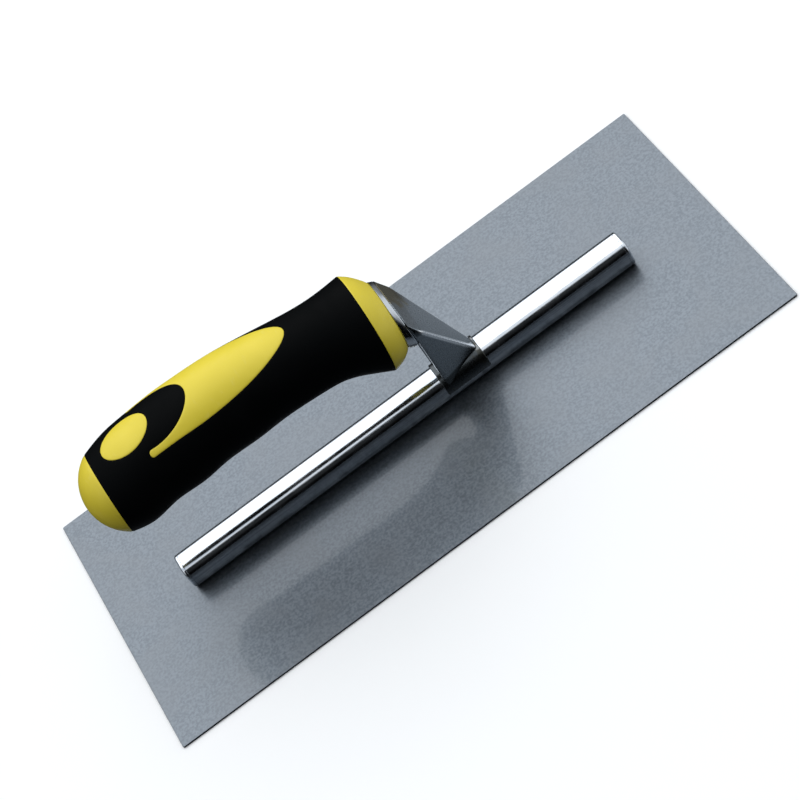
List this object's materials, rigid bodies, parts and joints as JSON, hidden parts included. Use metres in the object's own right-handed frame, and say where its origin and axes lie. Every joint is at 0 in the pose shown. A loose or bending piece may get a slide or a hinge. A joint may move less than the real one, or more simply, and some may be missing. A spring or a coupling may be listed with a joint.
{
  "type": "finishing trowel",
  "caption": "Rectangular steel finishing trowel: flat blade, box-section spine, folded neck and a raised two-colour soft-grip handle.",
  "frame": {"origin": "middle of the blade's flat underside", "axes": "+X along the blade towards its front end, away from the handle's butt; +Y across the blade; +Z out of the blade's back, towards the handle"},
  "size_m": [0.28, 0.125, 0.0886],
  "materials": {
    "blade_steel": "satin, finely ground spring steel",
    "zinc_plate": "bright zinc plate on steel",
    "neck_steel": "satin zinc plate on pressed steel",
    "fixing_steel": "plain zinc-plated fastener steel",
    "yellow_plastic": "satin moulded polypropylene",
    "black_rubber": "matt soft-touch thermoplastic rubber"
  },
  "bodies": {
    "root": {"blade": "blade_steel", "spine_tube": "zinc_plate", "rear_end_cap": "zinc_plate", "front_end_cap": "zinc_plate", "neck_bracket": "neck_steel", "neck_boss": "neck_steel", "tang": "fixing_steel", "tang_washer": "fixing_steel", "tang_nut": "fixing_steel", "handle_core": "yellow_plastic", "grip_sleeve": "black_rubber", "butt_cap": "yellow_plastic"}
  },
  "joints": []
}
